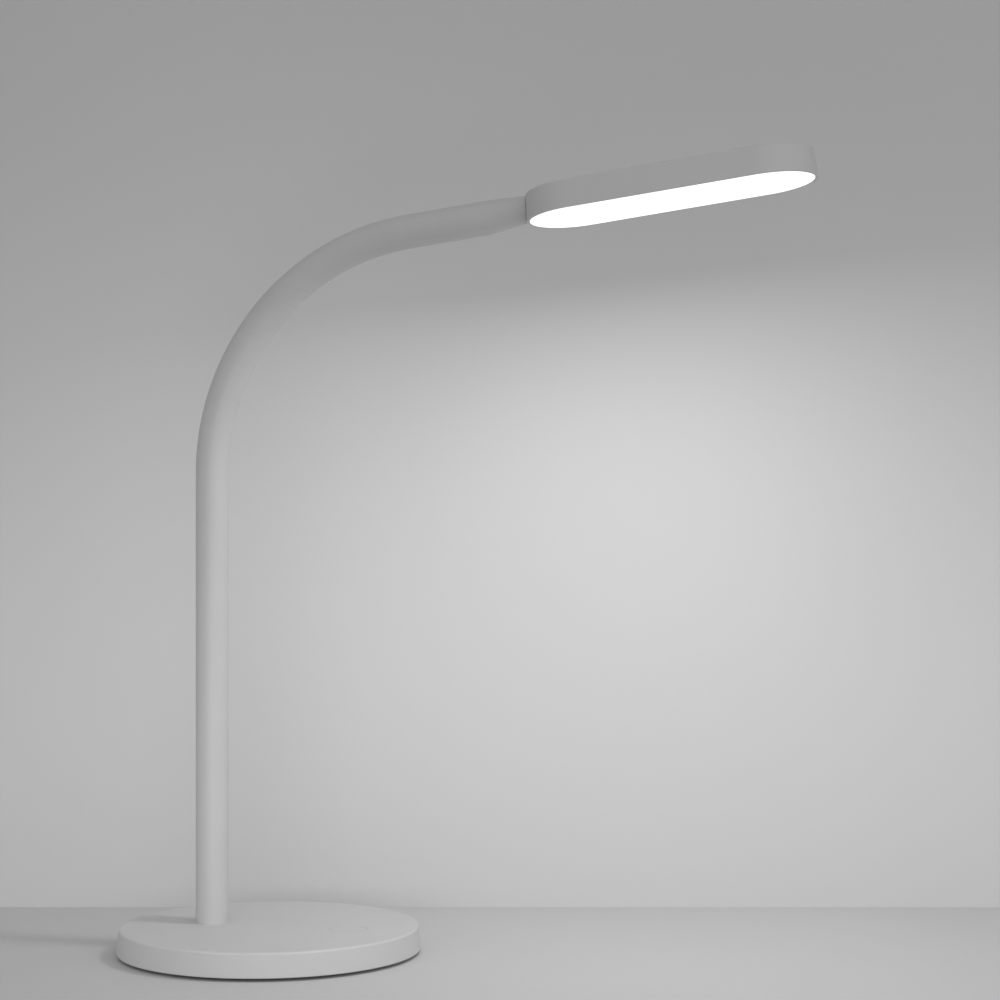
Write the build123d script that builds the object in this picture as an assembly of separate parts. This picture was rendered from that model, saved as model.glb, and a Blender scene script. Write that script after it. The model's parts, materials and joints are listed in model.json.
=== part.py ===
from build123d import *
import os
from math import acos, cos, degrees, radians, sin, sqrt, tan

# A rechargeable LED desk lamp: round weighted base, sleeved gooseneck, flat round-ended head.
# Lengths are millimetres and angles degrees. The origin is the centre of the base on the table,
# +X runs from the pole towards the head and +Z is up.

# Fits shared by the whole lamp
fit_gap = 0.15       # round or edge-to-edge fit between assembled pieces
slide_gap = 0.3      # between surfaces that move past each other
rest_gap = 0.3       # between stacked pieces that do not press on each other

# Base, named from the table upwards
base_radius = 65.0
base_wall = 2.0
base_draft = 5.0
base_edge_radius = 1.0
base_rim_radius = 0.5
foot_thickness = 1.2
foot_inset = 5.0
floor_thickness = 1.8
ballast_thickness = 2.3
ballast_inset = 1.5
ballast_well_margin = 1.0
roof_thickness = 1.7

# Screws that close the base, and the bosses they bite into
boss_radius = 3.4
boss_inset = 12.0
boss_count = 4
plate_screw_radius = 1.5
plate_screw_head_radius = 2.8
plate_screw_length = 7.0

# Small screws for boards and plates
small_screw_radius = 1.0
small_screw_head_radius = 1.8
small_screw_head_height = 0.8
small_screw_grip = 1.5

# Battery, filling the floor between the neck and the key
battery_thickness = 4.2
battery_corner = 1.8
battery_rear_gap = 3.0
battery_front_gap = 10.0
battery_side_gap = 4.0

# Circuit boards and their wire sockets
board_thickness = 1.2
control_board_width = 34.0
control_board_depth = 20.0
control_board_gap = 0.8
control_screw_inset = 3.0
control_tongue_margin = 1.0
wire_socket_depth = 5.0
wire_socket_width = 7.0
wire_radius = 0.7
wire_pitch = 2.4
battery_wire_y = 11.5
key_wire_gap = 4.4
key_wire_bend = 3.0

# Charging inlet
usb_width = 8.94
usb_height = 3.16
usb_depth = 7.3
usb_wall = 0.3
usb_mouth_depth = 6.2
usb_tongue_width = 6.7
usb_tongue_thickness = 0.7
usb_tongue_length = 4.5
usb_recess = 0.4

# Push key, its switch and the board that hangs below it
key_inset = 29.0
key_radius = 8.0
key_flange_width = 1.4
key_flange_thickness = 1.0
key_travel = 0.5
key_dish_depth = 0.2
switch_side = 6.0
switch_height = 1.5
plunger_radius = 1.6
plunger_seat = 0.3
key_board_width = 12.0
key_board_length = 31.0
key_post_radius = 2.4
key_post_inset = 3.0

# Neck section, from the skin inwards
neck_radius = 7.1
sleeve_wall = 1.4
core_gap = 0.2
core_bore_radius = 2.8
lead_radius = 0.9
lead_bore_radius = 1.2

# Neck centreline: upright pole, one bend, then a straight reach to the head
neck_lead_run = 12.6
pole_length = 193.3
bend_radius = 101.5
head_rise = 6.64
reach_length = 52.9
pivot_count = 8

# End fittings of the neck
shoulder_thickness = 1.5
thread_radius = 4.0
thread_tail = 0.3
spigot_length = 10.0
spigot_gap = 0.1
washer_radius = 12.0
washer_thickness = 1.0
nut_across_flats = 13.0
nut_thickness = 3.0
nut_well_radius = 10.5
taper_length = 18.0
tip_radius = 5.5
tip_wall = 1.2
tip_lift = 0.8        # of the narrow end above the neck's centreline
tip_overlap = 1.5     # past the head's end wall, before the tip is cut to its curve
shank_radius = 2.3
shank_length = 11.0
grub_radius = 1.5

# Head shell
head_length = 120.2
head_width = 44.1
head_height = 11.5
head_draft = 3.0
head_edge_radius = 1.0
head_wall = 1.2
head_roof = 1.6
socket_half_width = 6.5
socket_floor = 0.5
head_boss_radius = 2.4
head_boss_margin = 3.0
head_boss_y = 12.0

# Light stack, from the lit face upwards
diffuser_thickness = 0.9
guide_thickness = 1.6
sheet_thickness = 0.2
back_plate_thickness = 1.2
strip_thickness = 1.0
strip_height = 5.4
strip_end_gap = 2.4
chip_length = 2.8
chip_height = 1.4
chip_thickness = 0.7
chips_per_strip = 11
chip_gap = 0.2
conductor_radius = 0.45
conductor_bend = 4.0
conductor_gap = 6.0

# Heights in the base
floor_top = foot_thickness + floor_thickness
ballast_top = floor_top + ballast_thickness
roof_under = ballast_top + battery_thickness + rest_gap
base_height = roof_under + roof_thickness
board_top = floor_top + board_thickness
wire_level = ballast_top + wire_radius + rest_gap
usb_level = board_top + usb_height / 2


def wall_radius(height):
    """Outer radius of the base's drafted wall at a height."""
    return base_radius - (height - foot_thickness) * tan(radians(base_draft))


def inner_radius(height):
    return wall_radius(height) - base_wall


# Plan of the base, from the rear wall forwards: board, neck, battery, key
board_rear = control_board_gap - sqrt(inner_radius(board_top) ** 2 - (control_board_width / 2) ** 2)
board_front = board_rear + control_board_depth
pole_setback = -board_front - neck_lead_run
key_x = base_radius - key_inset
battery_rear = washer_radius + battery_rear_gap - pole_setback
battery_front = key_x - key_board_width / 2 - battery_front_gap
boss_reach = (base_radius - boss_inset) * cos(radians(180 / boss_count))
key_wire_y = boss_reach - boss_radius - wire_radius - key_wire_gap
battery_length = 2 * (key_wire_y - battery_side_gap)

# Key stack, hung from the roof
key_flange_radius = key_radius + key_flange_width
flange_under = roof_under - key_flange_thickness
switch_top = flange_under - key_travel - slide_gap
key_board_top = switch_top - switch_height
key_board_under = key_board_top - board_thickness
key_post_y = key_board_length / 2 - key_post_inset

# Radii and lengths of the neck
sleeve_bore_radius = neck_radius - sleeve_wall
core_radius = sleeve_bore_radius - core_gap
neck_foot = base_height + shoulder_thickness
bend_length = bend_radius * radians(90 - head_rise)
bend_end = pole_length + bend_length
neck_length = bend_end + reach_length
flex_length = neck_length - taper_length
pivots = [flex_length * (k + 0.5) / pivot_count for k in range(pivot_count)]
thread_under = roof_under - washer_thickness - nut_thickness - thread_tail
lead_level = floor_top + lead_radius

# Heights in the head, measured from its lit face, and widths of the light stack
draft_rate = tan(radians(head_draft))
neck_axis = head_height / 2
head_roof_under = head_height - head_roof
guide_top = diffuser_thickness + guide_thickness
sheet_top = guide_top + sheet_thickness
back_plate_top = sheet_top + back_plate_thickness
strip_top = diffuser_thickness + strip_height
strip_length = head_length - head_width - 2 * strip_end_gap
chip_pitch = strip_length / chips_per_strip
head_boss_x = strip_length / 2 + head_boss_margin
conductor_x = head_boss_x - conductor_gap
strip_outer = head_width / 2 - head_wall - strip_top * draft_rate - fit_gap
strip_inner = strip_outer - strip_thickness
guide_half_width = strip_inner - chip_thickness - chip_gap
guide_inset = head_width / 2 - guide_half_width
end_wall_x = neck_axis * draft_rate - head_length / 2
socket_end_x = end_wall_x + shank_length
socket_under = neck_axis - shank_radius - fit_gap - socket_floor


def neck_point(distance):
    """Point of the neck's centreline at a distance above its foot."""
    if distance <= pole_length:
        return Vector(-pole_setback, 0, neck_foot + distance)
    turn = min(distance - pole_length, bend_length) / bend_radius
    over = bend_radius * (1 - cos(turn)) - pole_setback
    point = Vector(over, 0, neck_foot + pole_length + bend_radius * sin(turn))
    return point + neck_direction(distance) * max(distance - bend_end, 0)


def neck_direction(distance):
    """Unit direction of the centreline, from the foot towards the head."""
    turn = min(max(distance - pole_length, 0), bend_length) / bend_radius
    return Vector(sin(turn), 0, cos(turn))


def neck_plane(distance):
    return Plane(neck_point(distance), x_dir=(0, 1, 0), z_dir=neck_direction(distance))


def neck_path(start, end):
    """Centreline between two distances: straight runs joined by the bend's arc."""
    marks = [start] + [m for m in (pole_length, bend_end) if start < m < end] + [end]
    edges = []
    for low, high in zip(marks, marks[1:]):
        middle = (low + high) / 2
        ends = neck_point(low), neck_point(high)
        if pole_length < middle < bend_end:
            edges.append(ThreePointArc(ends[0], neck_point(middle), ends[1]))
        else:
            edges.append(Line(*ends))
    return Wire(edges)


def neck_tube(outer, inner, start, end):
    ring = Circle(outer) - Circle(inner) if inner else Circle(outer)
    return sweep(neck_plane(start) * ring, path=neck_path(start, end))


# Place of the head: its end wall on the end of the neck, its lit face below
rise = neck_direction(neck_length)
head_up = Vector(-rise.Z, 0, rise.X)
head_centre = neck_point(neck_length) - rise * end_wall_x - head_up * neck_axis
head_place = Plane(head_centre, x_dir=rise, z_dir=head_up).location


def stadium(inset):
    """Round-ended outline of the head, drawn in by an even margin."""
    return SlotOverall(head_length - 2 * inset, head_width - 2 * inset)


def disc(radius, bottom, top, x=0.0, y=0.0):
    """Upright cylinder between two heights."""
    return Pos(x, y, bottom) * extrude(Circle(radius), top - bottom)


def slab(outline, bottom, top, taper=0.0):
    """Flat outline raised between two heights."""
    return Pos(0, 0, bottom) * extrude(outline, top - bottom, taper=taper)


def turned(*points):
    """Solid turned about Z from a closed outline of (radius, height) points."""
    return revolve(Plane.XZ * make_face(Polyline(*points, close=True)), Axis.Z)


def wire(radius, points, bend):
    """Round wire along straight runs with rounded corners."""
    path = FilletPolyline(*points, radius=bend) if len(points) > 2 else Line(*points)
    start = Plane(points[0], z_dir=Vector(*points[1]) - Vector(*points[0]))
    return sweep(start * Circle(radius), path=path)


def countersunk(radius, head_radius, length):
    """Countersunk screw pointing up, its flat head at height 0."""
    return turned((0, 0), (head_radius, 0), (radius, head_radius - radius), (radius, length), (0, length))


def pan_screw(length):
    """Small screw pointing up, the underside of its head at height 0."""
    head = disc(small_screw_head_radius, -small_screw_head_height, 0)
    return head + disc(small_screw_radius, 0, length)


def group(piece, places):
    """Separate copies of one piece, kept as a group of solids."""
    return Compound([place * solid for place in places for solid in piece.solids()])


boss_places = PolarLocations(base_radius - boss_inset, boss_count, 180 / boss_count).locations
control_screw_places = [
    Pos(board_rear + control_screw_inset, side * (control_board_width / 2 - control_screw_inset), 0)
    for side in (-1, 1)
]
key_post_places = [Pos(key_x, side * key_post_y, 0) for side in (-1, 1)]
head_boss_places = [Pos(x * head_boss_x, y * head_boss_y, 0) for x in (-1, 1) for y in (-1, 1)]


# Base

def base_shell():
    """Round cover: roof, skirt, screw bosses, key posts, and holes for neck, key and charging port."""
    shell = slab(Circle(base_radius), foot_thickness, base_height, base_draft)
    shell = fillet(shell.edges().group_by(Axis.Z)[-1], base_edge_radius)
    shell = fillet(shell.edges().group_by(Axis.Z)[0], base_rim_radius)
    shell -= slab(Circle(base_radius - base_wall), foot_thickness, roof_under, base_draft)
    for place in boss_places:
        shell += place * disc(boss_radius, floor_top, roof_under)
        pilot_top = foot_thickness + plate_screw_length + rest_gap
        shell -= place * disc(plate_screw_radius + fit_gap, floor_top, pilot_top)
    for place in key_post_places:
        shell += place * disc(key_post_radius, key_board_top, roof_under)
        pilot_top = key_board_top + small_screw_grip + rest_gap
        shell -= place * disc(small_screw_radius + fit_gap, key_board_top, pilot_top)
    shell -= disc(thread_radius + fit_gap, roof_under, base_height, -pole_setback)
    shell -= disc(key_radius + fit_gap, roof_under, base_height, key_x)
    port = SlotOverall(usb_width + 2 * fit_gap, usb_height + 2 * fit_gap)
    return shell - Plane.YZ * Pos(0, usb_level, -base_radius) * extrude(port, 3 * base_wall)


def base_plate():
    """Moulded floor, countersunk for the screws and piloted for the board."""
    plate = slab(Circle(base_radius - base_wall - fit_gap), foot_thickness, floor_top, base_draft)
    sunk = countersunk(plate_screw_radius + fit_gap, plate_screw_head_radius + fit_gap, plate_screw_length)
    for place in boss_places:
        plate -= place * Pos(0, 0, foot_thickness) * sunk
    for place in control_screw_places:
        plate -= place * disc(small_screw_radius + fit_gap, floor_top - small_screw_grip, floor_top)
    return plate


def plate_screws():
    screw = countersunk(plate_screw_radius, plate_screw_head_radius, plate_screw_length)
    return group(Pos(0, 0, foot_thickness) * screw, boss_places)


def foot_pad():
    return disc(base_radius - foot_inset, 0, foot_thickness)


def ballast():
    """Steel weight, cleared for the bosses, the neck nut and lead, the key's board and the control board."""
    weight = disc(inner_radius(ballast_top) - ballast_inset, floor_top, ballast_top)
    for place in boss_places:
        weight -= place * disc(boss_radius + rest_gap, floor_top, ballast_top)
    weight -= disc(nut_well_radius, floor_top, ballast_top, -pole_setback)
    channel = Rectangle(base_radius, 2 * nut_well_radius, align=(Align.MAX, Align.CENTER))
    weight -= Pos(-pole_setback, 0, 0) * slab(channel, floor_top, ballast_top)
    well_size = [side + 2 * ballast_well_margin for side in (key_board_width, key_board_length)]
    well = RectangleRounded(*well_size, ballast_well_margin)
    weight -= Pos(key_x, 0, 0) * slab(well, floor_top, ballast_top)
    rear = Rectangle(base_radius, 2 * base_radius, align=(Align.MAX, Align.CENTER))
    return weight - Pos(board_front + rest_gap, 0, 0) * slab(rear, floor_top, ballast_top)


def battery():
    """Flat pouch cell with rounded long edges."""
    width = battery_front - battery_rear
    cell = Box(width, battery_length, battery_thickness, align=(Align.MIN, Align.CENTER, Align.MIN))
    cell = fillet(cell.edges().filter_by(Axis.Y), battery_corner)
    return Pos(battery_rear, 0, ballast_top) * cell


def control_board():
    """Charger and driver board, with a tongue that carries the charging inlet."""
    tongue_rear = rest_gap - inner_radius(board_top)
    plan = Pos((board_rear + board_front) / 2, 0) * Rectangle(control_board_depth, control_board_width)
    tongue_width = usb_width + 2 * control_tongue_margin
    tongue = Rectangle(board_rear - tongue_rear, tongue_width, align=(Align.MIN, Align.CENTER))
    plan += Pos(tongue_rear, 0) * tongue
    board = slab(plan, floor_top, board_top)
    for place in control_screw_places:
        board -= place * disc(small_screw_radius + fit_gap, floor_top, board_top)
    return board


def board_sockets():
    """Wire sockets on the control board for the neck lead, the battery and the key."""
    block = Box(
        wire_socket_depth,
        wire_socket_width,
        wire_level + 2 * wire_radius - board_top,
        align=(Align.MAX, Align.CENTER, Align.MIN),
    )
    turned_block = Rot(0, 0, -90) * block
    key_place = Pos(board_front - control_board_depth / 2, -control_board_width / 2, board_top)
    front = [Pos(board_front, y, board_top) * block for y in (0, battery_wire_y)]
    return Compound(front + [key_place * turned_block])


def board_screws():
    screw = Rot(180, 0, 0) * pan_screw(board_thickness + small_screw_grip)
    return group(Pos(0, 0, board_top) * screw, control_screw_places)


def usb_socket():
    """Charging inlet: a flattened tube with a closed back and a contact tongue."""
    shell = extrude(SlotOverall(usb_width, usb_height), usb_depth)
    mouth = SlotOverall(usb_width - 2 * usb_wall, usb_height - 2 * usb_wall)
    shell -= extrude(mouth, usb_mouth_depth)
    tongue = extrude(Rectangle(usb_tongue_width, usb_tongue_thickness), usb_tongue_length)
    shell += Pos(0, 0, usb_mouth_depth - usb_tongue_length) * tongue
    mouth_x = usb_recess - wall_radius(board_top + usb_height)
    return Plane.YZ * Pos(0, usb_level, mouth_x) * shell


def power_key():
    """Round key flush with the roof, held in by its flange, with a shallow dish for the finger."""
    key = disc(key_radius, roof_under, base_height) + disc(key_flange_radius, flange_under, roof_under)
    ball_radius = (key_radius**2 + key_dish_depth**2) / (2 * key_dish_depth)
    key -= Pos(0, 0, base_height - key_dish_depth + ball_radius) * Sphere(ball_radius)
    return Pos(key_x, 0, 0) * key


def switch_plunger():
    return disc(plunger_radius, switch_top - key_travel, flange_under, key_x)


def key_switch():
    """Low switch body with a well for the plunger."""
    outline = RectangleRounded(switch_side, switch_side, plunger_seat)
    body = Pos(key_x, 0, 0) * slab(outline, key_board_top, switch_top)
    well_bottom = switch_top - 2 * key_travel - plunger_seat
    return body - disc(plunger_radius + slide_gap, well_bottom, switch_top, key_x)


def key_board():
    plan = Pos(key_x, 0) * Rectangle(key_board_width, key_board_length)
    board = slab(plan, key_board_under, key_board_top)
    for place in key_post_places:
        board -= place * disc(small_screw_radius + fit_gap, key_board_under, key_board_top)
    return board


def key_board_screws():
    screw = pan_screw(board_thickness + small_screw_grip)
    return group(Pos(0, 0, key_board_under) * screw, key_post_places)


def battery_lead():
    """Pair of wires from the battery's rear face to the board."""
    rows = [battery_wire_y + side * wire_pitch / 2 for side in (-1, 1)]
    ends = battery_rear, board_front
    return Compound([wire(wire_radius, [(x, y, wire_level) for x in ends], 0) for y in rows])


def key_lead():
    """Wire from the key's board, past the battery's end, to the control board."""
    target_x = board_front - control_board_depth / 2
    route = [
        (key_x, -key_board_length / 2, wire_level),
        (key_x, -key_wire_y, wire_level),
        (target_x, -key_wire_y, wire_level),
        (target_x, -control_board_width / 2, wire_level),
    ]
    return wire(wire_radius, route, key_wire_bend)


# Neck

def lower_ferrule():
    """Threaded end fitting: spigot up into the core, shoulder on the roof, thread down through it."""
    spigot = core_bore_radius - spigot_gap
    fitting = disc(thread_radius, thread_under, base_height) + disc(core_radius, base_height, neck_foot)
    fitting += disc(spigot, neck_foot, neck_foot + spigot_length)
    fitting -= disc(lead_bore_radius, thread_under, neck_foot + spigot_length)
    return Pos(-pole_setback, 0, 0) * fitting


def clamp_washer():
    ring = disc(washer_radius, roof_under - washer_thickness, roof_under)
    ring -= disc(thread_radius + fit_gap, roof_under - washer_thickness, roof_under)
    return Pos(-pole_setback, 0, 0) * ring


def clamp_nut():
    top = roof_under - washer_thickness
    hexagon = RegularPolygon(nut_across_flats / 2, 6, major_radius=False) - Circle(thread_radius + fit_gap)
    return Pos(-pole_setback, 0, 0) * slab(hexagon, top - nut_thickness, top)


def ball_end(distance):
    """Domed end of a core length, centred on the pivot, with the bore left open."""
    sweep_angle = degrees(acos(core_bore_radius / core_radius))
    height = sqrt(core_radius**2 - core_bore_radius**2)
    arc = CenterArc((0, 0), core_radius, 0, sweep_angle)
    sides = Polyline((core_bore_radius, height), (core_bore_radius, 0), (core_radius, 0))
    dome = revolve(Plane.XZ * make_face([arc, sides]), Axis.Z)
    return neck_plane(distance).location * dome


def neck_core(index):
    """One length of the gooseneck tube: cupped at its lower end, domed at its upper end."""
    start = pivots[index - 1] if index else 0
    end = pivots[index] if index < pivot_count else flex_length
    length = neck_tube(core_radius, core_bore_radius, start, end)
    if index < pivot_count:
        length += ball_end(end)
    if index:
        length -= neck_plane(start).location * Sphere(core_radius + slide_gap)
    return length


def neck_taper(start_radius, end_radius):
    """Slanting cone at the end of the neck: it narrows from below and stays almost straight on top."""
    wide = neck_plane(flex_length) * Circle(start_radius)
    narrow = neck_plane(neck_length + tip_overlap) * Pos(0, tip_lift) * Circle(end_radius)
    return loft([wide, narrow]) - head_place * slab(stadium(-fit_gap), 0, 2 * head_height, head_draft)


def neck_sleeve(index):
    """One length of the soft skin; the last one tapers and is cut to the curve of the head's end."""
    start = pivots[index - 1] if index else -shoulder_thickness
    end = pivots[index] if index < pivot_count else flex_length
    length = neck_tube(neck_radius, sleeve_bore_radius, start, end)
    if index < pivot_count:
        return length
    length += neck_taper(neck_radius, tip_radius)
    return length - neck_taper(sleeve_bore_radius, tip_radius - tip_wall)


def neck_lead(index):
    """One length of the lamp's lead; the first starts at the control board."""
    end = pivots[index] if index < pivot_count else neck_length + shank_length
    if index:
        return neck_tube(lead_radius, 0, pivots[index - 1], end)
    top = neck_point(end)
    route = [(board_front, 0, lead_level), (-pole_setback, 0, lead_level), (top.X, top.Y, top.Z)]
    return wire(lead_radius, route, thread_under - lead_level)


def upper_ferrule():
    """End fitting: spigot in the core, cone under the sleeve's taper, shank in the head's socket."""
    spigot_start = flex_length - spigot_length
    shank_end = neck_length + shank_length
    fitting = neck_taper(core_radius, tip_radius - tip_wall - core_gap)
    fitting += neck_tube(core_bore_radius - spigot_gap, 0, spigot_start, flex_length)
    fitting += neck_tube(shank_radius, 0, flex_length, shank_end)
    return fitting - neck_tube(lead_bore_radius, 0, spigot_start, shank_end)


# Head, modelled on its lit face and then set on the end of the neck

def along_neck(radius, start, end):
    """Round bar on the neck's axis, between two places along the head."""
    return Plane.YZ * Pos(0, neck_axis, start) * extrude(Circle(radius), end - start)


def head_shell():
    """Round-ended tub, open below, with drafted walls, a neck socket and screw bosses."""
    body = slab(stadium(0), 0, head_height, head_draft)
    shell = fillet(body.edges().group_by(Axis.Z)[-1], head_edge_radius)
    shell -= slab(stadium(head_wall), 0, head_roof_under, head_draft)
    socket_length = head_length / 2 + socket_end_x
    block = Rectangle(socket_length, 2 * socket_half_width, align=(Align.MIN, Align.CENTER))
    block = Pos(-head_length / 2, 0, 0) * slab(block, socket_under, head_roof_under)
    shell += block & body
    shell -= along_neck(shank_radius + fit_gap, -head_length / 2, socket_end_x)
    grub_x = socket_end_x - shank_length / 2
    cross = extrude(Circle(grub_radius + fit_gap), socket_half_width, both=True)
    shell -= Plane.XZ * Pos(grub_x, neck_axis, 0) * cross
    for place in head_boss_places:
        shell += place * disc(head_boss_radius, back_plate_top, head_roof_under)
        pilot_top = back_plate_top + small_screw_grip + rest_gap
        shell -= place * disc(small_screw_radius + fit_gap, back_plate_top, pilot_top)
    return shell


def grub_screws():
    """Two set screws that pinch the shank from either side."""
    length = socket_half_width - shank_radius
    screw = extrude(Circle(grub_radius), length)
    place = Pos(socket_end_x - shank_length / 2, 0, neck_axis)
    sides = [Rot(90 * side, 0, 0) * Pos(0, 0, shank_radius) * screw for side in (-1, 1)]
    return Compound([place * side for side in sides])


def back_plate():
    """Aluminium plate that backs the light stack, cut out round the neck socket."""
    plate = slab(stadium(guide_inset), sheet_top, back_plate_top)
    notch_length = head_length / 2 + socket_end_x + rest_gap
    notch = Rectangle(notch_length, 2 * (socket_half_width + rest_gap), align=(Align.MIN, Align.CENTER))
    plate -= Pos(-head_length / 2, 0, 0) * slab(notch, sheet_top, back_plate_top)
    sunk = countersunk(small_screw_radius + fit_gap, small_screw_head_radius + fit_gap, back_plate_thickness)
    for place in head_boss_places:
        plate -= place * Pos(0, 0, sheet_top) * sunk
    return plate


def back_plate_screws():
    length = back_plate_thickness + small_screw_grip
    screw = countersunk(small_screw_radius, small_screw_head_radius, length)
    return group(Pos(0, 0, sheet_top) * screw, head_boss_places)


def reflector_sheet():
    return slab(stadium(guide_inset), guide_top, sheet_top)


def light_guide():
    return slab(stadium(guide_inset), diffuser_thickness, guide_top)


def diffuser():
    """Opal face, drafted like the wall it sits in."""
    return slab(stadium(head_wall + fit_gap), 0, diffuser_thickness, head_draft)


def led_strips():
    """Light boards standing along both long walls."""
    plan = Rectangle(strip_length, strip_thickness)
    middle = strip_outer - strip_thickness / 2
    strip = slab(plan, diffuser_thickness, strip_top)
    return group(strip, [Pos(0, side * middle, 0) for side in (-1, 1)])


def led_chips():
    """Rows of chips on the strips, facing the edges of the light guide."""
    level = (diffuser_thickness + guide_top) / 2
    middle = strip_inner - chip_thickness / 2
    chip = Pos(0, 0, level) * Box(chip_length, chip_thickness, chip_height)
    row = [(n - (chips_per_strip - 1) / 2) * chip_pitch for n in range(chips_per_strip)]
    return group(chip, [Pos(x, side * middle, 0) for side in (-1, 1) for x in row])


def head_lead():
    """The lead's two conductors, from the neck's shank out to the two strips."""
    wires = []
    for side in (-1, 1):
        start_y = side * (conductor_radius + fit_gap / 2)
        route = [
            (socket_end_x, start_y, neck_axis),
            (-conductor_x, start_y, neck_axis),
            (-conductor_x, side * strip_inner, neck_axis),
        ]
        wires.append(wire(conductor_radius, route, conductor_bend))
    return Compound(wires)


base_pieces = (
    base_shell, base_plate, plate_screws, foot_pad, ballast, battery, control_board, board_sockets,
    board_screws, usb_socket, power_key, switch_plunger, key_switch, key_board, key_board_screws,
    battery_lead, key_lead, lower_ferrule, clamp_washer, clamp_nut, upper_ferrule,
)
head_pieces = (
    head_shell, grub_screws, back_plate, back_plate_screws, reflector_sheet, light_guide, diffuser,
    led_strips, led_chips, head_lead,
)

lamp = {make.__name__: make() for make in base_pieces}
lamp |= {make.__name__: head_place * make() for make in head_pieces}
for make in (neck_core, neck_sleeve, neck_lead):
    lamp |= {f"{make.__name__}_{index + 1}": make(index) for index in range(pivot_count + 1)}

os.makedirs("parts", exist_ok=True)
for name, piece in lamp.items():
    export_step(piece, f"parts/{name}.step")

for index, distance in enumerate(pivots):
    point, direction = neck_point(distance), neck_direction(distance)
    print(f"pivot {index + 1}: x {point.X:.4f} z {point.Z:.4f} direction {direction.X:.6f} {direction.Z:.6f}")
print(f"head centre: x {head_centre.X:.3f} z {head_centre.Z:.3f}, base height {base_height:.2f}")
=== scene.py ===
# %% [markdown]
# # A gooseneck desk lamp
# The lamp is a pale round base, a slim bendable neck in a smooth skin, and a flat round-ended head
# whose whole underside glows. The solids arrive finished in shape and in metres. This notebook
# gives each of them its own surface, models the soft pieces that a solid can't stand for, and then
# sets up the stage, the light and the camera.

# %% Load the frame
import json
from math import cos, pi, radians, sin, sqrt, tan

import bpy
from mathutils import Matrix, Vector


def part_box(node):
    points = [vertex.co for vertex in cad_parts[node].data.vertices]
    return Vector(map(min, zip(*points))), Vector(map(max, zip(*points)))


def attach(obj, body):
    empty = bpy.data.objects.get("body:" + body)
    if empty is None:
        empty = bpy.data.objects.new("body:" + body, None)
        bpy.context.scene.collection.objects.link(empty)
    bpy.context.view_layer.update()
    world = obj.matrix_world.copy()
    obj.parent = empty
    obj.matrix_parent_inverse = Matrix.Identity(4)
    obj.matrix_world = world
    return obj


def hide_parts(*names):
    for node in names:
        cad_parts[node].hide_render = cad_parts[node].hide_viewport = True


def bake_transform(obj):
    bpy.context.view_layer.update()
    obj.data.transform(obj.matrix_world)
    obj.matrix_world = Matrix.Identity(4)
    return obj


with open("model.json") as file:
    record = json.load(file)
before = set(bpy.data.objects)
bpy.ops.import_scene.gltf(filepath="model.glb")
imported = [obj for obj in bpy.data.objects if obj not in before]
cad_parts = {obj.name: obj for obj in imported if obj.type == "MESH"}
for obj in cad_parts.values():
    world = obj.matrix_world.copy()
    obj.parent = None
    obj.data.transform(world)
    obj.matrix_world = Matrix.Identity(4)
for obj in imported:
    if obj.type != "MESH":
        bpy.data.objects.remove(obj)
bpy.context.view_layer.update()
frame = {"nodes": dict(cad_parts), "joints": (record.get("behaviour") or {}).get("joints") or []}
solids = frame["nodes"]

# %% [markdown]
# ## Camera
# The photograph is taken level, from in front of the lamp and a little to its right, with a long
# lens. A camera that looks level keeps upright things upright. It could be tilted up to bring the
# head in, but then the pole would lean, so a small vertical shift of the lens moves the picture
# instead, as on a view camera.

# %% Place the camera
view_turn = radians(16.207)
lens_mm, film_mm, lens_shift = 72.24, 36.0, 0.0759
camera = bpy.data.objects.new("camera", bpy.data.cameras.new("camera"))
camera.data.lens = lens_mm
camera.data.sensor_width = film_mm
camera.data.shift_y = lens_shift
camera.location = (0.3365, -0.8025, 0.1619)
camera.rotation_euler = (pi / 2, 0, view_turn)
bpy.context.scene.collection.objects.link(camera)
bpy.context.scene.camera = camera
bpy.context.scene.view_settings.view_transform = "Standard"
print("camera lens", lens_mm, "mm, turned", round(view_turn, 4), "rad")

# %% [markdown]
# ## Shaders as sums
# A finish is easier to read as arithmetic than as a drawing of boxes and lines. This class wraps
# one output socket. Adding, multiplying or comparing two of them adds a Math node, and `node` makes
# any other kind of node. The reflected forms let a plain number stand on the left, so that
# `1 - mask` works as it reads.

# %% A socket that takes part in sums
class Signal:
    """One output socket of a shader, with arithmetic."""

    def __init__(self, socket):
        self.socket = socket

    @staticmethod
    def node(tree, kind, settings=None, values=None, out=0):
        """Adds a node, sets its settings, then fills or links its sockets."""
        made = tree.nodes.new("ShaderNode" + kind)
        for name, value in (settings or {}).items():
            setattr(made, name, value)
        for name, value in (values or {}).items():
            if isinstance(value, Signal):
                tree.links.new(value.socket, made.inputs[name])
            else:
                made.inputs[name].default_value = value
        return Signal(made.outputs[out])

    def math(self, operation, other=0.0, swapped=False):
        """Adds a Math node on this signal and another one, or a number."""
        values = {0: other, 1: self} if swapped else {0: self, 1: other}
        return self.node(self.socket.id_data, "Math", {"operation": operation}, values)

    def __add__(self, other):
        return self.math("ADD", other)

    def __sub__(self, other):
        return self.math("SUBTRACT", other)

    def __rsub__(self, other):
        return self.math("SUBTRACT", other, True)

    def __mul__(self, other):
        return self.math("MULTIPLY", other)

    def __truediv__(self, other):
        return self.math("DIVIDE", other)

    def __gt__(self, other):
        return self.math("GREATER_THAN", other)

    def __lt__(self, other):
        return self.math("LESS_THAN", other)

    def __abs__(self):
        return self.math("ABSOLUTE")

    __radd__ = __add__
    __rmul__ = __mul__


print("signals ready")

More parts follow.
